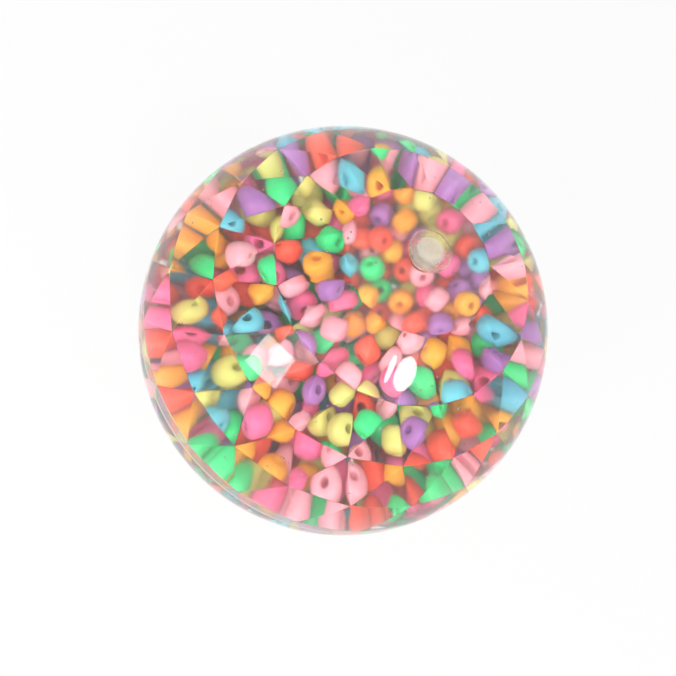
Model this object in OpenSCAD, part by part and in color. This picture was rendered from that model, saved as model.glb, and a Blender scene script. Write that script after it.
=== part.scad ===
// Clear bouncy ball, half full of loose coloured beads.
// Two thick half shells with a faceted inner wall are bonded at the seam, and a plug closes the fill hole.
// The origin is the centre of the ball, and +Z runs from it through the middle of the plug.

/* [Ball] */
// Outside diameter of the ball
ball_d = 70; // [60:1:80]
// Thickness of the clear wall where the corners of its facets lie
wall_t = 3.3; // [2.5:0.1:4.5]
// Thickness of the bonding layer in the seam
seam_t = 0.3; // [0.1:0.1:0.6]

/* [Facets] */
// Corners on each ring of facets round the inner wall
ring_corners = 20; // [12:2:24]
// Rows of facets from the round window down to the seam
facet_rows = 4; // [3:1:5]
// Diameter of the smooth round window in the inner wall at each pole
window_d = 21.4; // [16:0.2:24]
// Width of the flat lip round a window, at its narrowest
window_lip = 0.15; // [0.1:0.05:0.5]

/* [Fill plug] */
// Diameter of the plug's stem, which a bead passes through the hole of
plug_stem_d = 4.7; // [4.6:0.1:5.4]
// Diameter of the plug's head
plug_head_d = 6.2; // [5.8:0.1:8]
// Height of the head, from its seat to the top of the ball
plug_head_h = 1.2; // [0.6:0.1:2]
// Gap all round the plug in its hole
plug_fit = 0.05; // [0.03:0.01:0.1]

/* [Beads] */
// Outside diameter of a bead
bead_d = 3.5; // [3.2:0.1:3.8]
// Length of a bead along its bore
bead_l = 2.8; // [2.5:0.1:3.2]
// Diameter of a bead's bore
bead_bore_d = 1.05; // [0.8:0.05:1.3]
// Radius of a bead's round edges
bead_round_r = 1; // [0.7:0.05:1.1]
// Least gap between two beads
bead_gap = 0.06; // [0.04:0.01:0.2]
// Gap between the outer beads and the middle of the facets
wall_gap = 0.15; // [0.1:0.05:0.6]

/* [Bed of beads] */
// Height up to which the middles of the beads lie, from the middle of the ball
bed_level = -2; // [-8:0.5:8]
// Angle between straight up, as the beads lie level, and the ball's axis
bed_lean = 28.3; // [0:0.1:90]
// Direction round the axis, from +X, in which straight up leans
bed_side = -12.3; // [-180:0.1:180]

/* [Hidden] */

outer_r = ball_d/2;
inner_r = outer_r - wall_t;
// How far a cutting shape runs past what it cuts
overrun = wall_t/2;

// Corners of the first and last ring, which leave the lip clear round the windows
corner_step = 360/ring_corners;
rim_r = (window_d/2 + window_lip)/cos(corner_step/2);
rim_z = sqrt(inner_r*inner_r - rim_r*rim_r);
window_r = norm([window_d/2, rim_z]);
rim_angle = atan2(rim_r, rim_z);
ring_count = 2*facet_rows + 1;
row_step = (180 - 2*rim_angle)/(2*facet_rows);

// Bounding radius of a bead and the spacing of the bead layers
bead_reach = norm([bead_d/2 - bead_round_r, bead_l/2 - bead_round_r]) + bead_round_r;
layer_t = 2*bead_reach + bead_gap;

// Share of a layer that its beads fill, how far they start off an even spiral as a share of the layer's
// thickness, and how the crowded ones are pushed apart: steps of it, and the share that each step mends
layer_fill_share = 0.74;
scatter_share = 0.28;
settle_steps = 12;
settle_share = 0.8;
scatter_seed = 7;
axis_seed = 100;
colour_seed = 41;
// Share of the beads that each colour has: orange, mint, rose, blush, lavender, sky, lemon and coral
colour_shares = [0.14, 0.12, 0.15, 0.14, 0.11, 0.07, 0.09, 0.18];
golden_angle = 180*(3 - sqrt(5));
// Along the spiral, a point's neighbours are these numbers of points before and after it
neighbour_steps = [for (step = [1, 2, 3, 5, 8, 13, 21, 34, 55], side = [-1, 1]) side*step];

shell_fn = 128;
bead_fn = 24;

// The faceted cavity

function ring_angle(k) = rim_angle + k*row_step;

// Corner j of ring k, where each ring is turned half a step from the one above it
function corner(k, j) =
    let (around = corner_step*(j + (k % 2)/2), down = ring_angle(k))
    inner_r*[sin(down)*cos(around), sin(down)*sin(around), cos(down)];

function corner_index(k, j) = k*ring_corners + j % ring_corners;

// The two triangles between corner j of ring k and the ring below it, seen from outside clockwise
function row_faces(k, j) =
    let (shift = k % 2)
    [
        [corner_index(k, j), corner_index(k, j + 1), corner_index(k + 1, j + shift)],
        [corner_index(k, j + 1), corner_index(k + 1, j + 1 + shift), corner_index(k + 1, j + shift)],
    ];

cavity_corners = [for (k = [0:ring_count - 1], j = [0:ring_corners - 1]) corner(k, j)];
cavity_faces = concat(
    [[for (j = [ring_corners - 1:-1:0]) corner_index(0, j)]],
    [for (k = [0:ring_count - 2], j = [0:ring_corners - 1], face = row_faces(k, j)) face],
    [[for (j = [0:ring_corners - 1]) corner_index(ring_count - 1, j)]]
);

module cavity() {
    polyhedron(cavity_corners, cavity_faces);
    for (pole = [0, 1]) mirror([0, 0, pole]) window_dome();
}

// The smooth round end of the cavity behind a window
module window_dome() {
    intersection() {
        sphere(window_r, $fn = shell_fn);
        translate([0, 0, rim_z - overrun/2]) cylinder(window_r, d = window_d, $fn = shell_fn);
    }
}

// The shells, their bond and the plug

module half_space() {
    side = ball_d + 2*overrun;
    translate([-side/2, -side/2, 0]) cube(side);
}

module plug_hole() {
    head_r = plug_head_d/2 + plug_fit;
    cylinder(outer_r + overrun, d = plug_stem_d + 2*plug_fit, $fn = shell_fn);
    translate([0, 0, outer_r - plug_head_h]) cylinder(plug_head_h + overrun, r = head_r, $fn = shell_fn);
}

module half_shell() {
    difference() {
        sphere(outer_r, $fn = shell_fn);
        translate([0, 0, seam_t/2]) mirror([0, 0, 1]) half_space();
        cavity();
    }
}

module upper_shell() {
    color([0.93, 0.96, 0.98, 0.35]) difference() {
        half_shell();
        plug_hole();
    }
}

module lower_shell() {
    color([0.93, 0.96, 0.98, 0.35]) mirror([0, 0, 1]) half_shell();
}

module seam_bond() {
    color([0.86, 0.84, 0.79]) difference() {
        intersection() {
            sphere(outer_r, $fn = shell_fn);
            translate([0, 0, -seam_t/2]) cylinder(seam_t, r = outer_r + overrun, $fn = shell_fn);
        }
        cavity();
    }
}

module fill_plug() {
    color([0.88, 0.86, 0.84]) intersection() {
        sphere(outer_r, $fn = shell_fn);
        union() {
            translate([0, 0, window_r]) cylinder(outer_r - window_r, d = plug_stem_d, $fn = shell_fn);
            translate([0, 0, outer_r - plug_head_h]) cylinder(plug_head_h + overrun, d = plug_head_d, $fn = shell_fn);
        }
    }
}

// Where the beads lie

function unit(v) = v/norm(v);

function vector_sum(list) = [for (v = list) 1]*list;

// Distance of the plane through three corners from the centre of the ball
function plane_distance(a, b, c) = abs(a*unit(cross(b - a, c - a)));

facet_r = min([
    for (k = [0:facet_rows - 1], face = row_faces(k, 0))
        plane_distance(cavity_corners[face[0]], cavity_corners[face[1]], cavity_corners[face[2]])
]);
fill_r = facet_r - wall_gap;
layer_count = floor(fill_r/layer_t + 1/2);

function layer_r(k) = fill_r - layer_t*(k + 1/2);

// As many beads as fill a layer, each taking the cap of the sphere that its bounding ball covers
function layer_beads(k) =
    floor(layer_fill_share*2/(1 - cos(asin(min(1, layer_t/2/layer_r(k))))));

// Points spread evenly over a unit sphere along a spiral
function spiral(n) = [
    for (i = [0:n - 1])
        let (z = 1 - (2*i + 1)/n, r = sqrt(1 - z*z))
        [r*cos(golden_angle*i), r*sin(golden_angle*i), z]
];

// Directions spread at random over a unit sphere
function random_axes(n, seed) =
    let (draws = rands(0, 1, 2*n, seed))
    [
        for (i = [0:n - 1])
            let (z = 2*draws[2*i] - 1, r = sqrt(1 - z*z), around = 360*draws[2*i + 1])
            [r*cos(around), r*sin(around), z]
    ];

// Half the width of a bead along a direction at this cosine to its bore
function half_width(cosine) =
    (bead_l/2 - bead_round_r)*abs(cosine)
    + (bead_d/2 - bead_round_r)*sqrt(max(0, 1 - cosine*cosine))
    + bead_round_r;

// Brings a bead back into its layer. The outer beads touch the sphere that just fits inside the facets
function seated(k, place, axis) =
    let (out = unit(place))
    out*(k == 0 ? fill_r - half_width(out*axis) : layer_r(k));

// Moves that push bead i away from each neighbour that it crowds
function pushes(places, axes, i) = [
    for (step = neighbour_steps)
        if (i + step >= 0 && i + step < len(places))
            let (apart = places[i] - places[i + step], distance = norm(apart))
            if (distance < layer_t)
                let (
                    along = apart/distance,
                    needed = half_width(along*axes[i]) + half_width(along*axes[i + step]) + bead_gap
                )
                if (distance < needed) along*(needed - distance)*settle_share
];

function settled(k, places, axes, steps) =
    steps == 0 ? places :
    let (moved = [
        for (i = [0:len(places) - 1])
            let (moves = pushes(places, axes, i))
            len(moves) == 0 ? places[i] : seated(k, places[i] + vector_sum(moves), axes[i])
    ])
    settled(k, moved, axes, steps - 1);

// The place and the axis of each bead of layer k
function layer(k) =
    let (
        n = layer_beads(k),
        axes = random_axes(n, axis_seed + k),
        scatter = scatter_share*layer_t,
        off = rands(-scatter, scatter, 3*n, scatter_seed + k),
        even = layer_r(k)*spiral(n),
        start = [
            for (i = [0:n - 1])
                seated(k, even[i] + [off[3*i], off[3*i + 1], off[3*i + 2]], axes[i])
        ],
        places = settled(k, start, axes, settle_steps)
    )
    [for (i = [0:n - 1]) [places[i], axes[i]]];

// Straight up, as the ball lies
bed_up = [sin(bed_lean)*cos(bed_side), sin(bed_lean)*sin(bed_side), cos(bed_lean)];

// The places and axes of the beads: those of the layers that lie below the bed's top
beads = [for (k = [0:layer_count - 1], bead = layer(k)) if (bead[0]*bed_up < bed_level) bead];

// The number of the colour that a draw from 0 to 1 falls in
function drawn_colour(draw, colour = 0) =
    colour == len(colour_shares) - 1 || draw < colour_shares[colour] ? colour :
    drawn_colour(draw - colour_shares[colour], colour + 1);

bead_colours = [for (draw = rands(0, 1, len(beads), colour_seed)) drawn_colour(draw)];

// The beads

// Half of a bead's section, beside its axis: round at both outer edges, with the bore left out
module bead_section() {
    intersection() {
        translate([bead_bore_d/2, -bead_l/2]) square([(bead_d - bead_bore_d)/2, bead_l]);
        union() {
            translate([0, -bead_l/2]) square([bead_d/2 - bead_round_r, bead_l]);
            translate([0, bead_round_r - bead_l/2]) square([bead_d/2, bead_l - 2*bead_round_r]);
            for (side = [-1, 1])
                translate([bead_d/2 - bead_round_r, side*(bead_l/2 - bead_round_r)])
                    circle(bead_round_r, $fn = bead_fn);
        }
    }
}

module bead() {
    rotate_extrude($fn = bead_fn) bead_section();
}

// All the beads of one colour
module bead_group(colour) {
    for (i = [0:len(beads) - 1])
        if (bead_colours[i] == colour)
            let (place = beads[i][0], axis = beads[i][1])
            translate(place) rotate([0, acos(axis[2]), atan2(axis[1], axis[0])]) bead();
}

module beads_orange() { color([1.00, 0.70, 0.22]) bead_group(0); }
module beads_mint() { color([0.31, 0.92, 0.58]) bead_group(1); }
module beads_rose() { color([0.99, 0.48, 0.65]) bead_group(2); }
module beads_blush() { color([1.00, 0.71, 0.74]) bead_group(3); }
module beads_lavender() { color([0.76, 0.54, 0.81]) bead_group(4); }
module beads_sky() { color([0.48, 0.83, 0.89]) bead_group(5); }
module beads_lemon() { color([0.89, 0.88, 0.47]) bead_group(6); }
module beads_coral() { color([0.99, 0.37, 0.26]) bead_group(7); }

upper_shell();
lower_shell();
seam_bond();
fill_plug();
beads_orange();
beads_mint();
beads_rose();
beads_blush();
beads_lavender();
beads_sky();
beads_lemon();
beads_coral();
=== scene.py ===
import math

import bpy
import numpy as np
from mathutils import Matrix, Vector


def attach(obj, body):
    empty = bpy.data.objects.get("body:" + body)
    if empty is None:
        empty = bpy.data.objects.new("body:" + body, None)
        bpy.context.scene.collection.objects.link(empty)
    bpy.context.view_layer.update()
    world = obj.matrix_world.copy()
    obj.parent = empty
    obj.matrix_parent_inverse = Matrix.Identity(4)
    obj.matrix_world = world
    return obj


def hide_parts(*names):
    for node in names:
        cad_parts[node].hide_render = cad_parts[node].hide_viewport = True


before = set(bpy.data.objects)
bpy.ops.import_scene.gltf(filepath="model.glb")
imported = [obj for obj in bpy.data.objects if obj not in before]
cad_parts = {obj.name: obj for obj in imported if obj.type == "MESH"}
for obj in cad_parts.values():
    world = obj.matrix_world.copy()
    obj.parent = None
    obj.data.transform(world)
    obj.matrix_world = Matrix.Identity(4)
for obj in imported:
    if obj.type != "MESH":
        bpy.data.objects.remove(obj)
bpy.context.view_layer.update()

# Sizes of the CAD model, in metres and radians
MM = 0.001
BALL_R = 35 * MM
WALL_T = 3.3 * MM
INNER_R = BALL_R - WALL_T
SEAM_T = 0.3 * MM
RING_CORNERS = 20
FACET_ROWS = 4
WINDOW_R = 10.7 * MM
WINDOW_LIP = 0.15 * MM
STEM_R = 2.35 * MM
HEAD_R = 3.1 * MM
HEAD_H = 1.2 * MM
PLUG_FIT = 0.05 * MM
BEAD_R = 1.75 * MM
BEAD_L = 2.8 * MM
BORE_R = 0.525 * MM
BEAD_ROUND = 1.0 * MM

CORNER_STEP = 2 * math.pi / RING_CORNERS
RIM_R = (WINDOW_R + WINDOW_LIP) / math.cos(CORNER_STEP / 2)
RIM_Z = math.sqrt(INNER_R**2 - RIM_R**2)
DOME_R = math.hypot(WINDOW_R, RIM_Z)
RIM_ANGLE = math.atan2(RIM_R, RIM_Z)
LAST_RING = 2 * FACET_ROWS
ROW_STEP = (math.pi - 2 * RIM_ANGLE) / LAST_RING
SEAT_Z = BALL_R - HEAD_H

# The outside is drawn a hair small, so that it stays in the box of the CAD mesh
SHAVED = 0.01 * MM
OUTER_R = BALL_R - SHAVED

# How round the edges of the wall are, how finely it is drawn, and how near two points count as one
EDGE_ROUND = 0.12 * MM
HOLE_ROUND = 0.05 * MM
AROUND = 240
PER_EDGE = AROUND // RING_CORNERS
OUTER_ROWS = 110
DOME_ROWS = 14
EDGE_STEPS = 4
BRIM_STEPS = 4
HOLE_STEPS = 3
SAME_PLACE = 0.0001 * MM

# Material slots of the wall
OUTSIDE, SEAM_FACE, INSIDE, HOLE, WINDOW = range(5)


# Surfaces

def unit(v):
    return v / np.linalg.norm(v, axis=-1, keepdims=True)


class Surface:
    """Points with their normals, and faces in a material slot. Points in one place become one."""

    def __init__(self):
        self.points, self.normals, self.faces, self.slots = [], [], [], []
        self.slot = 0

    def add(self, point, normal):
        self.points.append(np.array(point, float))
        self.normals.append(unit(np.array(normal, float)))
        return len(self.points) - 1

    def face(self, corners):
        self.faces.append(list(corners))
        self.slots.append(self.slot)

    def join(self, rows):
        """Joins rings of points. Seen from the side the faces show, each ring lies left of the one before."""
        for low, high in zip(rows, rows[1:]):
            for i, j in zip(range(len(low)), [*range(1, len(low)), 0]):
                self.face((low[i], low[j], high[j], high[i]))

    def fan(self, loop, point, normal):
        middle = self.add(point, normal)
        for i, corner in enumerate(loop):
            self.face((corner, loop[(i + 1) % len(loop)], middle))

    def ring(self, r, z, n_r, n_z, count=AROUND):
        """A ring of points round the ball's axis, its normals leaning by n_r outwards and n_z up."""
        turns = [2 * math.pi * i / count for i in range(count)]
        return [
            self.add((r * math.cos(a), r * math.sin(a), z), (n_r * math.cos(a), n_r * math.sin(a), n_z))
            for a in turns
        ]

    def lathe(self, profile):
        rings = [self.ring(*p) for p in profile]
        self.join(rings)
        return rings

    def piece(self, name, materials):
        """Makes the object, leaving out faces that have fewer than three corners once points are one."""
        places, first, of_point = np.unique(
            np.round(np.array(self.points) / SAME_PLACE), axis=0, return_index=True, return_inverse=True)
        of_point = of_point.reshape(-1)
        faces, normals, slots = [], [], []
        for face, slot in zip(self.faces, self.slots):
            corners = [(of_point[c], c) for c in face]
            kept = [pair for i, pair in enumerate(corners) if pair[0] != corners[i - 1][0]]
            if len(kept) > 2:
                faces.append([pair[0] for pair in kept])
                normals += [self.normals[pair[1]] for pair in kept]
                slots.append(slot)
        mesh = bpy.data.meshes.new(name)
        mesh.from_pydata([tuple(self.points[i]) for i in first], [], faces)
        for material in materials:
            mesh.materials.append(material)
        mesh.polygons.foreach_set("material_index", slots)
        mesh.polygons.foreach_set("use_smooth", [True] * len(faces))
        mesh.normals_split_custom_set([tuple(n) for n in normals])
        return placed(name, mesh)


def placed(name, data):
    """A new object in the scene that shows a mesh, or is the camera or a lamp."""
    piece = bpy.data.objects.new(name, data)
    bpy.context.scene.collection.objects.link(piece)
    return piece


def arc(centre_r, centre_z, radius, start, end, steps, side=1):
    """Profile points of an arc, from one angle in degrees to another. side is -1 for a hollow."""
    out = []
    for s in range(steps + 1):
        a = math.radians(start + (end - start) * s / steps)
        c, n = math.cos(a), math.sin(a)
        out.append((centre_r + radius * c, centre_z + radius * n, side * c, side * n))
    return out


# The facets of the inner wall, with rounded edges

def ring_corner(k, j):
    """Corner j of ring k. Each ring is turned by half a step from the one above it."""
    around, down = CORNER_STEP * (j + (k % 2) / 2), RIM_ANGLE + k * ROW_STEP
    return INNER_R * np.array(
        [math.sin(down) * math.cos(around), math.sin(down) * math.sin(around), math.cos(down)])


def facet_list():
    """Each facet's corners as (ring, number), in the order that turns it to the middle of the ball."""
    facets = []
    for k in range(LAST_RING):
        for j in range(RING_CORNERS):
            right = (j + 1) % RING_CORNERS
            below, below_right = (j + k % 2) % RING_CORNERS, (j + 1 + k % 2) % RING_CORNERS
            facets.append(((k, j), (k, right), (k + 1, below)))
            facets.append(((k, right), (k + 1, below_right), (k + 1, below)))
    return facets


class Facets:
    """Adds the facets to a surface. rims has the ring of points round each window, by the ring's number."""

    def __init__(self, surface):
        self.surface = surface
        self.facets = facet_list()
        self.place = {c: ring_corner(*c) for f in self.facets for c in f}
        self.normal, self.inset, self.owner = [], {}, {}
        self.across, self.window_row, self.window_side, self.rims = {}, {}, {}, {}
        self.find_flats()
        self.round_edges()
        self.round_windows()
        self.fill_flats()
        self.round_corners()

    def find_flats(self):
        """The flat middle of each facet, which the rounded edges leave."""
        for n, f in enumerate(self.facets):
            a, b, c = (self.place[x] for x in f)
            self.normal.append(unit(np.cross(b - a, c - a)))
            for i, here in enumerate(f):
                one = unit(self.place[f[(i + 1) % 3]] - self.place[here])
                two = unit(self.place[f[i - 1]] - self.place[here])
                reach = EDGE_ROUND / np.linalg.norm(np.cross(one, two))
                self.inset[n, here] = self.surface.add(self.place[here] + reach * (one + two), self.normal[n])
                self.owner[here, f[(i + 1) % 3]] = n

    def section(self, here, n, m):
        """Points over the rounded edge from facet n to facet m, beside the corner here."""
        start, end = self.inset[n, here], self.inset[m, here]
        p, q = self.surface.points[start], self.surface.points[end]
        one, two = self.normal[n], self.normal[m]
        rise = np.linalg.norm(q - p) / 2 * math.tan(math.acos(min(1.0, float(one @ two))) / 4)
        out = -unit(one + two)
        row = [start]
        for s in range(1, EDGE_STEPS):
            t = s / EDGE_STEPS
            point = p + (q - p) * t + out * rise * (1 - (2 * t - 1) ** 2)
            row.append(self.surface.add(point, one * (1 - t) + two * t))
        row.append(end)
        self.across[here, n, m], self.across[here, m, n] = row, row[::-1]
        return row

    def round_edges(self):
        for (a, b), n in self.owner.items():
            if (b, a) in self.owner and (a, b) < (b, a):
                m = self.owner[b, a]
                at_a, at_b = self.section(a, n, m), self.section(b, n, m)
                for s in range(EDGE_STEPS):
                    self.surface.face((at_a[s], at_a[s + 1], at_b[s + 1], at_b[s]))

    def round_windows(self):
        """Rounds the step from the facets to the smooth dome of each window."""
        r = WINDOW_R - EDGE_ROUND
        for k, pole in ((0, 1), (LAST_RING, -1)):
            z = pole * math.sqrt(DOME_R**2 - r**2)
            self.rims[k] = self.surface.ring(r, z, -r, -z)
        for (a, b), n in self.owner.items():
            if (b, a) not in self.owner:
                self.round_window_edge(a, b, n)

    def round_window_edge(self, a, b, n):
        """Curves the strip from the edge of facet n between the corners a and b to the dome's rim."""
        k, pole = a[0], 1 if a[0] == 0 else -1
        if (a[1] + 1) % RING_CORNERS != b[1]:
            a, b = b, a
        first, last = self.inset[n, a], self.inset[n, b]
        p, q = self.surface.points[first], self.surface.points[last]
        columns = []
        for i in range(1, PER_EDGE):
            t = (i - 1) / (PER_EDGE - 2)
            low = {1: first, PER_EDGE - 1: last}.get(i)
            if low is None:
                low = self.surface.add(p + (q - p) * t, self.normal[n])
            top = self.rims[k][a[1] * PER_EDGE + i]
            turn = 2 * math.pi * (a[1] * PER_EDGE + i) / AROUND
            lip_r = WINDOW_R + WINDOW_LIP / 2
            lip = np.array([lip_r * math.cos(turn), lip_r * math.sin(turn), pole * RIM_Z])
            start, end = self.surface.points[low], self.surface.points[top]
            column = [low]
            for s in range(1, EDGE_STEPS):
                u = s / EDGE_STEPS
                point = start * (1 - u) ** 2 + lip * 2 * u * (1 - u) + end * u * u
                column.append(self.surface.add(
                    point, self.normal[n] * (1 - u) + self.surface.normals[top] * u))
            columns.append(column + [top])
        for left, right in zip(columns, columns[1:]):
            for s in range(EDGE_STEPS):
                quad = (left[s], right[s], right[s + 1], left[s + 1])
                self.surface.face(quad if pole < 0 else quad[::-1])
        self.window_row[n] = [column[0] for column in columns]
        self.window_side[n, a], self.window_side[n, b] = columns[0], columns[-1]

    def fill_flats(self):
        for n, f in enumerate(self.facets):
            loop = []
            for i, a in enumerate(f):
                start = self.inset[n, a]
                loop.append(start)
                if (f[(i + 1) % 3], a) not in self.owner:
                    row = self.window_row[n]
                    loop += (row if row[0] == start else row[::-1])[1:-1]
            self.surface.face(loop)

    def round_corners(self):
        """Closes the gap that the rounded edges leave at each corner."""
        around = {c: {} for c in self.place}
        for n, f in enumerate(self.facets):
            for i, here in enumerate(f):
                around[here][f[(i + 1) % 3]] = (n, f[i - 1])
        for here, turn in around.items():
            ends = {after for n, after in turn.values()}
            starts = [c for c in turn if c not in ends]
            at, order = starts[0] if starts else next(iter(turn)), []
            while len(order) < len(turn):
                n, at = turn[at]
                order.append(n)
            loop = []
            for n, m in zip(order, order[1:] if starts else order[1:] + order[:1]):
                loop += self.across[here, n, m][:-1]
            if starts:
                loop += self.window_side[order[-1], here]
                loop.append(self.rims[here[0]][here[1] * PER_EDGE])
                loop += self.window_side[order[0], here][:0:-1]
            middle = np.mean([self.surface.points[i] for i in loop], axis=0)
            lean = np.sum([self.surface.normals[i] for i in loop], axis=0)
            self.surface.fan(loop, middle, lean)


# The whole wall, and its halves

def hole_profile():
    """The fill hole's section, from the outside of the ball down to the inner wall."""
    head, stem = HEAD_R + PLUG_FIT, STEM_R + PLUG_FIT
    top = math.sqrt(OUTER_R**2 - head**2)
    lean = math.degrees(math.acos(head / OUTER_R))
    inside = math.sqrt(DOME_R**2 - (stem + HOLE_ROUND) ** 2)
    return (
        arc(head + HOLE_ROUND, top - HOLE_ROUND, HOLE_ROUND, lean, 180, BRIM_STEPS)
        + arc(head - HOLE_ROUND, SEAT_Z + HOLE_ROUND, HOLE_ROUND, 0, -90, HOLE_STEPS, side=-1)
        + arc(stem + HOLE_ROUND, SEAT_Z - HOLE_ROUND, HOLE_ROUND, 90, 180, HOLE_STEPS)
        + arc(stem + HOLE_ROUND, inside + HOLE_ROUND, HOLE_ROUND, 180, 270, HOLE_STEPS)
    )


def dome_profile(start, end, pole, rows):
    """The dome behind a window, from one distance off the axis to another."""
    out = []
    for s in range(rows + 1):
        r = start + (end - start) * s / rows
        z = pole * math.sqrt(DOME_R**2 - r**2)
        out.append((r, z, -r, -z))
    return out


def whole_wall():
    """The inside, the outside and the fill hole as one surface, before it is cut in halves."""
    wall = Surface()
    wall.slot = INSIDE
    rims = Facets(wall).rims
    window = WINDOW_R - EDGE_ROUND
    wall.slot = WINDOW
    top_dome = dome_profile(STEM_R + PLUG_FIT + HOLE_ROUND, window, 1, DOME_ROWS)[:-1]
    wall.join([wall.lathe(top_dome)[-1], rims[0]])
    low_dome = [wall.ring(*p) for p in dome_profile(window, 0, -1, DOME_ROWS)[1:-1]]
    wall.join([rims[LAST_RING], *low_dome])
    wall.fan(low_dome[-1], (0, 0, -DOME_R), (0, 0, 1))
    hole = hole_profile()
    up = math.acos(hole[0][0] / OUTER_R)
    outer = []
    for s in range(1, OUTER_ROWS):
        a = -math.pi / 2 + (up + math.pi / 2) * s / OUTER_ROWS
        outer.append((OUTER_R * math.cos(a), OUTER_R * math.sin(a), math.cos(a), math.sin(a)))
    rings = [wall.ring(*p) for p in outer + hole]
    brim = len(outer) + BRIM_STEPS
    wall.slot = OUTSIDE
    wall.join(rings[:brim + 1])
    wall.fan(rings[0][::-1], (0, 0, -OUTER_R), (0, 0, -1))
    wall.slot = HOLE
    wall.join(rings[brim:])
    return wall


def cut(surface, height, keep):
    """The part of a surface above a height, or below it where keep is -1. Returns it and the points cut."""
    part, moved, crossing = Surface(), {}, {}

    def side(i):
        return keep * (surface.points[i][2] - height)

    def same(i):
        if i not in moved:
            moved[i] = part.add(surface.points[i], surface.normals[i])
        return moved[i]

    def between(i, j):
        key = (min(i, j), max(i, j))
        if key not in crossing:
            t = (height - surface.points[key[0]][2]) / (surface.points[key[1]][2] - surface.points[key[0]][2])
            point, normal = (
                rows[key[0]] * (1 - t) + rows[key[1]] * t for rows in (surface.points, surface.normals))
            point[2] = height
            crossing[key] = part.add(point, normal)
        return crossing[key]

    for face, slot in zip(surface.faces, surface.slots):
        kept = []
        for i, j in zip(face, face[1:] + face[:1]):
            if side(i) >= 0:
                kept.append(same(i))
            if side(i) * side(j) < 0:
                kept.append(between(i, j))
        if len(kept) > 2 and any(side(i) > 0 for i in face):
            part.slot = slot
            part.face(kept)
    return part, list(crossing.values())


def cap(part, cut_points, facing):
    """Closes a cut part with a flat ring between its outer and its inner edge."""
    part.slot = SEAM_FACE
    loops = []
    for outside in (True, False):
        chosen = [
            part.points[i] for i in cut_points
            if (np.linalg.norm(part.points[i][:2]) > (BALL_R + INNER_R) / 2) == outside]
        chosen = sorted(chosen, key=lambda p: math.atan2(p[1], p[0]))
        loops.append([part.add(p, (0, 0, facing)) for p in chosen])
    outer, inner = loops
    turns = [[math.atan2(part.points[i][1], part.points[i][0]) for i in loop] for loop in loops]
    full = 2 * math.pi
    at, counts = [0, 0], [len(outer), len(inner)]
    while at[0] < counts[0] or at[1] < counts[1]:
        ahead = [math.inf, math.inf]
        for k in (0, 1):
            if at[k] < counts[k]:
                past, following = divmod(at[k] + 1, counts[k])
                ahead[k] = turns[k][following] + full * past
        o, i = outer[at[0] % counts[0]], inner[at[1] % counts[1]]
        if ahead[0] <= ahead[1]:
            triangle = (o, outer[(at[0] + 1) % counts[0]], i)
            at[0] += 1
        else:
            triangle = (o, inner[(at[1] + 1) % counts[1]], i)
            at[1] += 1
        part.face(triangle if facing > 0 else triangle[::-1])


def half_wall(wall, keep):
    """The upper half where keep is 1, and the lower one where it is -1."""
    half, edge = cut(wall, keep * SEAM_T / 2, keep)
    cap(half, edge, -keep)
    return half


BOND_GAP = 0.004 * MM


def bond_ring(wall):
    """The layer between the halves, a hair thinner than the space between them."""
    half_t = SEAM_T / 2 - BOND_GAP
    low, low_edge = cut(wall, -half_t, 1)
    cap(low, low_edge, -1)
    ring, edge = cut(low, half_t, -1)
    cap(ring, edge, 1)
    return ring


# Small air bubbles left in the clear wall by the moulding

BUBBLES = 260
BUBBLE_R = (0.08 * MM, 0.2 * MM)
BUBBLE_DEPTH = (0.5 * MM, 2.6 * MM)
OFF_SEAM, OFF_PLUG = 4 * SEAM_T, 2 * HEAD_R
BUBBLE_ROWS, BUBBLE_AROUND = 6, 10


def add_bubbles(half, keep, seed):
    """Adds bubbles at random places in a half, clear of its seam and of the plug."""
    draws = np.random.default_rng(seed)
    half.slot = OUTSIDE
    found = 0
    while found < BUBBLES:
        way = unit(draws.normal(size=3))
        depth, size = draws.uniform(*BUBBLE_DEPTH), draws.uniform(0, 1) ** 2
        place = way * (BALL_R - depth)
        off_axis = np.linalg.norm(place[:2])
        if keep * place[2] < OFF_SEAM or off_axis < OFF_PLUG:
            continue
        found += 1
        r = BUBBLE_R[0] + (BUBBLE_R[1] - BUBBLE_R[0]) * size
        rings = []
        for k in range(1, BUBBLE_ROWS):
            down = math.pi * k / BUBBLE_ROWS
            ring = []
            for i in range(BUBBLE_AROUND):
                a = 2 * math.pi * i / BUBBLE_AROUND
                out = np.array([math.sin(down) * math.cos(a), math.sin(down) * math.sin(a), math.cos(down)])
                ring.append(half.add(place + r * out, -out))
            rings.append(ring)
        half.join(rings)
        half.fan(rings[0][::-1], place + (0, 0, r), (0, 0, -1))
        half.fan(rings[-1], place - (0, 0, r), (0, 0, 1))


# The plug

PLUG_ROUND = 0.08 * MM
PLUG_GAP = 0.01 * MM
PLUG_AROUND = 96
PLUG_STEPS = 4
# Where the rings of its top face lie, as shares of the head's radius
PLUG_FACE_RINGS = (0.85, 0.7, 0.5, 0.3, 0.1)


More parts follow.
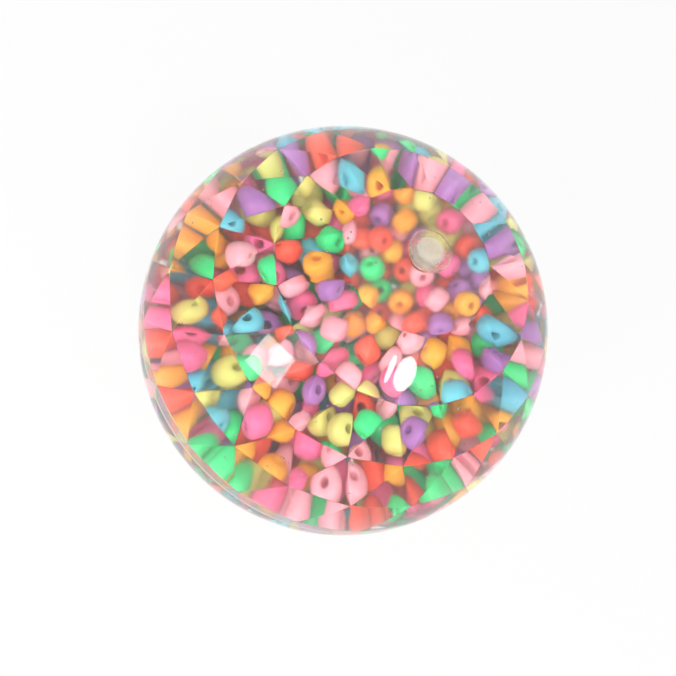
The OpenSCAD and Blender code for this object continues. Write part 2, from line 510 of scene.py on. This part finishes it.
def plug_surface():
    """The plug, whose head stands a hair off its seat. Its top follows the outside of the ball."""
    plug = Surface()
    low, seat = DOME_R, SEAT_Z + PLUG_GAP
    top = math.sqrt(OUTER_R**2 - HEAD_R**2)
    lean = math.acos(HEAD_R / OUTER_R)
    side = arc(STEM_R - PLUG_ROUND, low + PLUG_ROUND, PLUG_ROUND, -90, 0, PLUG_STEPS)
    side += arc(STEM_R + PLUG_ROUND, seat - PLUG_ROUND, PLUG_ROUND, 180, 90, PLUG_STEPS, side=-1)
    side += arc(HEAD_R - PLUG_ROUND, seat + PLUG_ROUND, PLUG_ROUND, -90, 0, PLUG_STEPS)
    face = arc(HEAD_R - PLUG_ROUND, top - PLUG_ROUND, PLUG_ROUND, 0, math.degrees(lean), PLUG_STEPS)
    for share in PLUG_FACE_RINGS:
        r = share * HEAD_R
        z = math.sqrt(OUTER_R**2 - r**2)
        face.append((r, z, r, z))
    rings = [plug.ring(*p, PLUG_AROUND) for p in side + face]
    plug.slot = OUTSIDE
    plug.join(rings[len(side):])
    plug.fan(rings[-1], (0, 0, OUTER_R), (0, 0, 1))
    plug.slot = HOLE
    plug.join(rings[:len(side) + 1])
    plug.slot = INSIDE
    plug.fan(rings[0][::-1], (0, 0, low), (0, 0, -1))
    return plug


# The beads, where the CAD beads lie

BEAD_NODES = [n for n in sorted(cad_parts) if n.startswith("beads_")]
BEAD_AROUND = 28
BEAD_STEPS, BORE_STEPS = 5, 2
BORE_ROUND = 0.12 * MM
# How much shorter a bead's ends are cut at one side, and how much flatter a bead is, at most, as shares
MOST_SLANT, MOST_OVAL = 0.14, 0.06
# A direction that no bead's bore lies along, from which the directions across the bore are found
SIDEWAYS = (0.31, 0.52, 0.79)


def bead_template():
    """A bead's points and quads. Its bore lies along z."""
    half = BEAD_L / 2
    rim = arc(BORE_R + BORE_ROUND, half - BORE_ROUND, BORE_ROUND, 180, 90, BORE_STEPS)
    side = arc(BEAD_R - BEAD_ROUND, half - BEAD_ROUND, BEAD_ROUND, 90, 0, BEAD_STEPS)
    top = [(p[0], p[1]) for p in rim + side]
    profile = top + [(r, -z) for r, z in top[::-1]]
    points = [
        (r * math.cos(a), r * math.sin(a), z)
        for r, z in profile
        for a in (2 * math.pi * i / BEAD_AROUND for i in range(BEAD_AROUND))
    ]
    quads = []
    for k in range(len(profile)):
        up = (k + 1) % len(profile)
        for i in range(BEAD_AROUND):
            j = (i + 1) % BEAD_AROUND
            low, high = k * BEAD_AROUND, up * BEAD_AROUND
            quads.append([low + i, high + i, high + j, low + j])
    return np.array(points), np.array(quads)


def separate_solids(mesh):
    """The points of each separate solid in a mesh."""
    points = np.empty(len(mesh.vertices) * 3, np.float32)
    mesh.vertices.foreach_get("co", points)
    points = points.reshape(-1, 3).astype(float)
    edges = np.empty(len(mesh.edges) * 2, np.int32)
    mesh.edges.foreach_get("vertices", edges)
    places, of_point = np.unique(np.round(points / SAME_PLACE), axis=0, return_inverse=True)
    ends = of_point.reshape(-1)[edges.reshape(-1, 2)]
    label = np.arange(len(places))
    while True:
        least = np.minimum(label[ends[:, 0]], label[ends[:, 1]])
        new = label.copy()
        np.minimum.at(new, ends[:, 0], least)
        np.minimum.at(new, ends[:, 1], least)
        new = new[new]
        if (new == label).all():
            break
        label = new
    order = np.argsort(label, kind="stable")
    starts = np.flatnonzero(np.diff(label[order], prepend=-1))
    return [places[group] * SAME_PLACE for group in np.split(order, starts[1:])]


def bead_places(node):
    """The middle and the axis of each bead of a node, from the ends of its bore."""
    at_bore = (math.hypot(BORE_R, BEAD_L / 2) + math.hypot(BEAD_R - BEAD_ROUND, BEAD_L / 2)) / 2
    found = []
    for points in separate_solids(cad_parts[node].data):
        middle = (points.min(0) + points.max(0)) / 2
        bore = points[np.linalg.norm(points - middle, axis=1) < at_bore]
        middle = (bore.min(0) + bore.max(0)) / 2
        axis = np.linalg.eigh((bore - middle).T @ (bore - middle))[1][:, 2]
        found.append((tuple(np.round(middle / MM, 2)), middle, axis * (1 if axis[2] >= 0 else -1)))
    return [f[1:] for f in sorted(found, key=lambda f: f[0])]


def bead_group(node, material, seed):
    """All the beads of a node. Each one is cut a little unevenly, within the CAD bead's outline."""
    template, quads = bead_template()
    draws = np.random.default_rng(seed)
    points, faces = [], []
    for n, (middle, axis) in enumerate(bead_places(node)):
        side = unit(np.cross(axis, SIDEWAYS))
        turn = draws.uniform(0, 2 * math.pi)
        across = side * math.cos(turn) + np.cross(axis, side) * math.sin(turn)
        basis = np.stack([across, np.cross(axis, across), axis])
        shape = template.copy()
        slant_top, slant_low = draws.uniform(0, MOST_SLANT, 2)
        lean, oval = draws.uniform(0, 2 * math.pi), draws.uniform(0, MOST_OVAL)
        shape[:, 1] *= 1 - oval
        over_top = (shape[:, 0] / BEAD_R + 1) / 2
        over_low = (shape[:, 0] * math.cos(lean) + shape[:, 1] * math.sin(lean)) / BEAD_R / 2 + 0.5
        shape[:, 2] *= np.where(shape[:, 2] > 0, 1 - slant_top * over_top, 1 - slant_low * over_low)
        points.append(middle + shape @ basis)
        faces.append(quads + n * len(template))
    points, faces = np.concatenate(points), np.concatenate(faces)
    mesh = bpy.data.meshes.new(node)
    mesh.vertices.add(len(points))
    mesh.vertices.foreach_set("co", points.astype(np.float32).reshape(-1))
    mesh.loops.add(faces.size)
    mesh.loops.foreach_set("vertex_index", faces.reshape(-1).astype(np.int32))
    mesh.polygons.add(len(faces))
    mesh.polygons.foreach_set("loop_start", np.arange(len(faces), dtype=np.int32) * 4)
    mesh.update(calc_edges=True)
    mesh.polygons.foreach_set("use_smooth", np.ones(len(faces), bool))
    mesh.materials.append(material)
    return placed(node.replace("beads_", "bead_group_"), mesh)


# Materials

def new_material(name):
    material = bpy.data.materials.new(name)
    material.use_nodes = True
    nodes = material.node_tree.nodes
    return material, nodes, material.node_tree.links, nodes["Principled BSDF"]


def object_place(nodes):
    """The place of a point on the piece itself."""
    return nodes.new("ShaderNodeTexCoord").outputs["Object"]


def noise(nodes, links, scale, detail, vector=None):
    node = nodes.new("ShaderNodeTexNoise")
    node.inputs["Scale"].default_value = scale
    node.inputs["Detail"].default_value = detail
    links.new(object_place(nodes) if vector is None else vector, node.inputs["Vector"])
    return node.outputs["Fac"]


def spread(nodes, links, value, low, high, start=0.3, end=0.7):
    """A value from start to end turned into one from low to high. Most of a noise lies from 0.3 to 0.7."""
    node = nodes.new("ShaderNodeMapRange")
    links.new(value, node.inputs["Value"])
    for name, number in zip(("From Min", "From Max", "To Min", "To Max"), (start, end, low, high)):
        node.inputs[name].default_value = number
    return node.outputs["Result"]


def maths(nodes, links, operation, one, two, clamp=False):
    """What a Math node makes of two values. Each is a socket or a number."""
    node = nodes.new("ShaderNodeMath")
    node.operation = operation
    node.use_clamp = clamp
    for socket, value in zip(node.inputs, (one, two)):
        if isinstance(value, float):
            socket.default_value = value
        else:
            links.new(value, socket)
    return node.outputs[0]


def axis_distance(nodes, links):
    """How far a point lies from the ball's axis."""
    flat, length = nodes.new("ShaderNodeVectorMath"), nodes.new("ShaderNodeVectorMath")
    flat.operation, length.operation = "MULTIPLY", "LENGTH"
    flat.inputs[1].default_value = (1, 1, 0)
    links.new(object_place(nodes), flat.inputs[0])
    links.new(flat.outputs[0], length.inputs[0])
    return length.outputs["Value"]


def blend_colours(nodes, links, factor, one, two):
    """A mix of two colours. Each is a socket or three numbers."""
    node = nodes.new("ShaderNodeMix")
    node.data_type = "RGBA"
    links.new(factor, node.inputs["Factor"])
    for socket, colour in zip([s for s in node.inputs if s.name in "AB" and s.type == "RGBA"], (one, two)):
        if isinstance(colour, tuple):
            socket.default_value = (*colour, 1)
        else:
            links.new(colour, socket)
    return [s for s in node.outputs if s.type == "RGBA"][0]


def bump(nodes, links, shader, value, distance):
    node = nodes.new("ShaderNodeBump")
    node.inputs["Distance"].default_value = distance
    node.inputs["Strength"].default_value = 1
    links.new(value, node.inputs["Height"])
    links.new(node.outputs["Normal"], shader.inputs["Normal"])


def linear(colour):
    """A colour as it looks on a screen, turned into the numbers that a shader takes."""
    return tuple(c / 12.92 if c <= 0.04045 else ((c + 0.055) / 1.055) ** 2.4 for c in colour)


def bead_plastic(name, colour, deep):
    """Moulded plastic, a little uneven in colour and gloss."""
    material, nodes, links, shader = new_material(name)
    patches = spread(nodes, links, noise(nodes, links, scale=130, detail=1.5), 0, 1, start=0.35, end=0.65)
    links.new(
        blend_colours(nodes, links, patches, linear(colour), linear(deep)), shader.inputs["Base Color"])
    grain = noise(nodes, links, scale=2400, detail=3)
    links.new(spread(nodes, links, grain, low=0.36, high=0.54), shader.inputs["Roughness"])
    shader.inputs["Specular IOR Level"].default_value = 0.4
    shader.inputs["Subsurface Weight"].default_value = 0.6
    shader.inputs["Subsurface Radius"].default_value = (1, 0.7, 0.6)
    shader.inputs["Subsurface Scale"].default_value = 1.2 * MM
    bump(nodes, links, shader, grain, distance=0.012 * MM)
    return material


# Refractive indices of the wall, of what the ball is filled with, and of the glue round the plug
WALL_INDEX, FILLING_INDEX, GLUE_INDEX = 1.5, 1.25, 1.485
# Share of the light that the hazy outside of the ball scatters, and the inside of its windows
HAZE, WINDOW_HAZE = 0.016, 0.035


def clear_plastic(name, index, roughness, haze=0.0):
    """Clear soft plastic, faintly wavy, that lets the lamps' light through. roughness is its range."""
    material, nodes, links, shader = new_material(name)
    shader.inputs["Base Color"].default_value = (0.985, 0.99, 0.992, 1)
    shader.inputs["Transmission Weight"].default_value = 1 - haze
    shader.inputs["IOR"].default_value = index
    smudges = noise(nodes, links, scale=70, detail=4)
    links.new(spread(nodes, links, smudges, *roughness, start=0.4, end=0.75), shader.inputs["Roughness"])
    bump(nodes, links, shader, noise(nodes, links, scale=90, detail=1), distance=0.02 * MM)
    open_air = nodes.new("ShaderNodeBsdfTransparent")
    paths = nodes.new("ShaderNodeLightPath")
    surface = shader.outputs[0]
    for kind in ("Is Shadow Ray", "Is Diffuse Ray"):
        mix = nodes.new("ShaderNodeMixShader")
        links.new(paths.outputs[kind], mix.inputs[0])
        links.new(surface, mix.inputs[1])
        links.new(open_air.outputs[0], mix.inputs[2])
        surface = mix.outputs[0]
    links.new(surface, nodes["Material Output"].inputs["Surface"])
    return material


# Depths below the outside at which the bond begins to get denser, and at which it is densest
BOND_RIM, DENSE_RIM = 0.9 * MM, 0.3 * MM
# Length that the streaks' noise gets for each radian round the seam: a small one makes them long
STREAK_LENGTH = 4 * MM


def milky_film(name, colour, deep, alpha, rim_alpha=0.0):
    """Cloudy, with streaks that run round the seam. alpha is its range, and rim_alpha is added at the rim."""
    material, nodes, links, shader = new_material(name)
    split = nodes.new("ShaderNodeSeparateXYZ")
    links.new(object_place(nodes), split.inputs[0])
    turn = maths(nodes, links, "ARCTAN2", split.outputs["Y"], split.outputs["X"])
    radius = axis_distance(nodes, links)
    wound = nodes.new("ShaderNodeCombineXYZ")
    links.new(radius, wound.inputs[0])
    links.new(maths(nodes, links, "MULTIPLY", turn, STREAK_LENGTH), wound.inputs[1])
    streaks = noise(nodes, links, scale=1500, detail=3, vector=wound.outputs[0])
    links.new(
        blend_colours(nodes, links, spread(nodes, links, streaks, 0, 1), linear(colour), linear(deep)),
        shader.inputs["Base Color"])
    denser = spread(nodes, links, radius, 0, rim_alpha, start=BALL_R - BOND_RIM, end=BALL_R - DENSE_RIM)
    links.new(
        maths(nodes, links, "ADD", spread(nodes, links, streaks, *alpha), denser, clamp=True),
        shader.inputs["Alpha"])
    shader.inputs["Roughness"].default_value = 0.6
    shader.inputs["Specular IOR Level"].default_value = 0.1
    return material


def cloudy_plug(name, index):
    """The plug's plastic: clear at its rim, and cloudy over the stem."""
    material, nodes, links, shader = new_material(name)
    clearness = spread(
        nodes, links, axis_distance(nodes, links), low=0.15, high=0.97, start=0.5 * STEM_R, end=STEM_R)
    cloud = noise(nodes, links, scale=900, detail=3)
    pale, dark = linear((0.83, 0.77, 0.68)), linear((0.75, 0.69, 0.60))
    milk = blend_colours(nodes, links, spread(nodes, links, cloud, 0, 1), pale, dark)
    links.new(blend_colours(nodes, links, clearness, milk, (0.97, 0.96, 0.94)), shader.inputs["Base Color"])
    links.new(clearness, shader.inputs["Transmission Weight"])
    links.new(spread(nodes, links, cloud, low=0.12, high=0.3), shader.inputs["Roughness"])
    shader.inputs["IOR"].default_value = index
    return material


# Each bead's colour as it looks on a screen, and the deeper colour of its patches
COLOURS = {
    "orange": ((1.00, 0.71, 0.19), (0.98, 0.61, 0.11)),
    "mint": ((0.20, 0.90, 0.54), (0.15, 0.80, 0.44)),
    "rose": ((0.98, 0.45, 0.64), (0.92, 0.37, 0.54)),
    "blush": ((1.00, 0.69, 0.73), (0.97, 0.61, 0.66)),
    "lavender": ((0.73, 0.49, 0.76), (0.64, 0.40, 0.67)),
    "sky": ((0.43, 0.79, 0.84), (0.34, 0.69, 0.77)),
    "lemon": ((0.89, 0.87, 0.50), (0.86, 0.83, 0.43)),
    "coral": ((0.98, 0.38, 0.24), (0.91, 0.28, 0.18)),
}


# Putting the pieces together

def hand_in(piece, slot, *nodes):
    """Puts a piece on the root body and hides the CAD nodes that it stands for. slot is not used."""
    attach(piece, "root")
    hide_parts(*nodes)


# Indices at the surfaces where the wall meets the filling and the glue
TO_FILLING, TO_GLUE = WALL_INDEX / FILLING_INDEX, WALL_INDEX / GLUE_INDEX
FIRST_BEAD_SEED = 50

clear = clear_plastic("clear_wall", WALL_INDEX, roughness=(0.02, 0.07), haze=HAZE)
facets = clear_plastic("clear_facets", TO_FILLING, roughness=(0.07, 0.13))
windows = clear_plastic("clear_windows", TO_FILLING, roughness=(0.12, 0.2), haze=WINDOW_HAZE)
glued = clear_plastic("clear_hole", TO_GLUE, roughness=(0.1, 0.2))
film = milky_film("seam_face", (0.88, 0.85, 0.80), (0.78, 0.74, 0.68), alpha=(0.03, 0.1))
bond = milky_film("seam_bond", (0.90, 0.86, 0.79), (0.78, 0.73, 0.66), alpha=(0.05, 0.2), rim_alpha=0.6)
plug_outside = cloudy_plug("fill_plug_outside", WALL_INDEX)
plug_inside = cloudy_plug("fill_plug_inside", TO_FILLING)
plug_side = cloudy_plug("fill_plug_side", TO_GLUE)

# Each list has the materials in the order of the slots. The plug has no face in the second one, and the
# bond none past the third.
wall_plastics = [clear, film, facets, glued, windows]
plug_plastics = [plug_outside, plug_outside, plug_inside, plug_side]
bond_films = [bond] * 3

wall = whole_wall()
for name, side, bubble_seed in (("upper", 1, 3), ("lower", -1, 4)):
    half = half_wall(wall, side)
    add_bubbles(half, side, bubble_seed)
    hand_in(half.piece(name + "_wall", wall_plastics), "clear_wall", name + "_shell")
hand_in(bond_ring(wall).piece("bond_layer", bond_films), "seam_bond", "seam_bond")
hand_in(plug_surface().piece("plug", plug_plastics), "fill_plug", "fill_plug")
for seed, node in enumerate(BEAD_NODES, FIRST_BEAD_SEED):
    colour = node.removeprefix("beads_")
    plastic = bead_plastic("bead_" + colour, *COLOURS[colour])
    hand_in(bead_group(node, plastic, seed), "bead_" + colour, node)


# The camera, which sees the ball as the picture shows it

# The picture's own axes, in the ball's frame: towards the camera, up and to the right
PICTURE_VIEW = Vector((0.463, -0.101, 0.8805)).normalized()
PICTURE_UP = Vector((-0.738, -0.594, 0.320))
PICTURE_UP = (PICTURE_UP - PICTURE_VIEW * PICTURE_UP.dot(PICTURE_VIEW)).normalized()
PICTURE_RIGHT = PICTURE_UP.cross(PICTURE_VIEW)

CAMERA_DISTANCE = 4.15 * BALL_R
# The picture's width, and the radius and the middle of the ball in it
PICTURE_PIXELS = 676
BALL_PIXELS = 205.0
BALL_PIXEL = (343.1, 330.6)

camera_data = bpy.data.cameras.new("camera")
camera = placed("camera", camera_data)
camera.matrix_world = Matrix((PICTURE_RIGHT, PICTURE_UP, PICTURE_VIEW)).transposed().to_4x4()
camera.location = PICTURE_VIEW * CAMERA_DISTANCE
# A point seen at a slope of 1 lies this many pixels from the middle
per_slope = BALL_PIXELS * math.sqrt((CAMERA_DISTANCE / BALL_R) ** 2 - 1)
camera_data.lens = camera_data.sensor_width * per_slope / PICTURE_PIXELS
camera_data.shift_x = (PICTURE_PIXELS / 2 - BALL_PIXEL[0]) / PICTURE_PIXELS
camera_data.shift_y = (BALL_PIXEL[1] - PICTURE_PIXELS / 2) / PICTURE_PIXELS
camera_data.clip_start = 1 * MM
bpy.context.scene.camera = camera


# Lamps

LAMP_DISTANCE = 0.6


def direction(right, up, towards):
    """A direction given in the picture's own axes, turned into the ball's."""
    return PICTURE_RIGHT * right + PICTURE_UP * up + PICTURE_VIEW * towards


def lamp(name, shape, way, width, height, radiance, turn=0.0, shift=0.0, mirrored=True):
    """A soft lamp that faces the ball, turned by turn in degrees and moved by shift along its width.

    radiance is how bright its face looks. One that isn't mirrored shows in no reflection.
    """
    data = bpy.data.lights.new(name, "AREA")
    data.shape = shape
    data.size, data.size_y = width, height
    area = width * height * (math.pi / 4 if shape == "ELLIPSE" else 1)
    data.energy = radiance * math.pi * area
    lamp_object = placed(name, data)
    facing = way.normalized()
    level = PICTURE_UP.cross(facing).normalized()
    across = Matrix.Rotation(math.radians(turn), 3, facing) @ level
    lamp_object.matrix_world = Matrix((across, facing.cross(across), facing)).transposed().to_4x4()
    lamp_object.location = facing * LAMP_DISTANCE + across * shift
    lamp_object.visible_glossy = mirrored


RIGHT_WAY, LEFT_WAY = direction(0.480, -0.349, 0.805), direction(-0.592, -0.247, 0.767)
lamp("lamp_right", "ELLIPSE", RIGHT_WAY, width=0.11, height=0.18, radiance=20, turn=-14, shift=0.02)
lamp("lamp_right_strip", "ELLIPSE", RIGHT_WAY, width=0.03, height=0.15, radiance=20, turn=-14, shift=-0.064)
lamp("lamp_left", "RECTANGLE", LEFT_WAY, width=0.2, height=0.2, radiance=11, turn=45)
lamp("fill_lamp", "RECTANGLE", PICTURE_VIEW, width=0.3, height=0.3, radiance=6.5, mirrored=False)


# World and floor

def seen_rays(nodes, links):
    """1 for the rays of the camera, of reflections and through clear plastic, or else 0."""
    paths = nodes.new("ShaderNodeLightPath")
    total = paths.outputs["Is Camera Ray"]
    for kind in ("Is Glossy Ray", "Is Transmission Ray"):
        total = maths(nodes, links, "MAXIMUM", total, paths.outputs[kind])
    return total


WORLD_LIGHT = 0.35
FLOOR_HALF_SIDE = 1.5
FLOOR_COLOUR = (0.86, 0.86, 0.86, 1)
# How much of the floor's look is its own glow. The rest takes light and shadow.
FLOOR_GLOW = 0.88

world = bpy.data.worlds.new("studio")
bpy.context.scene.world = world
world.use_nodes = True
nodes, links = world.node_tree.nodes, world.node_tree.links
strength = nodes.new("ShaderNodeMapRange")
links.new(seen_rays(nodes, links), strength.inputs["Value"])
strength.inputs["To Min"].default_value = WORLD_LIGHT
strength.inputs["To Max"].default_value = 1
links.new(strength.outputs[0], nodes["Background"].inputs["Strength"])
nodes["Background"].inputs["Color"].default_value = (1, 1, 1, 1)

floor_mesh = bpy.data.meshes.new("floor")
floor_corners = [
    (x * FLOOR_HALF_SIDE, y * FLOOR_HALF_SIDE, -BALL_R) for x, y in ((-1, -1), (1, -1), (1, 1), (-1, 1))]
floor_mesh.from_pydata(floor_corners, [], [(0, 1, 2, 3)])
floor = placed("floor", floor_mesh)
paper, nodes, links, shader = new_material("paper")
shader.inputs["Base Color"].default_value = FLOOR_COLOUR
shader.inputs["Roughness"].default_value = 0.9
glow = nodes.new("ShaderNodeEmission")
mix = nodes.new("ShaderNodeMixShader")
links.new(maths(nodes, links, "MULTIPLY", seen_rays(nodes, links), FLOOR_GLOW), mix.inputs[0])
links.new(shader.outputs[0], mix.inputs[1])
links.new(glow.outputs[0], mix.inputs[2])
links.new(mix.outputs[0], nodes["Material Output"].inputs["Surface"])
floor_mesh.materials.append(paper)

bpy.context.scene.view_settings.view_transform = "Standard"
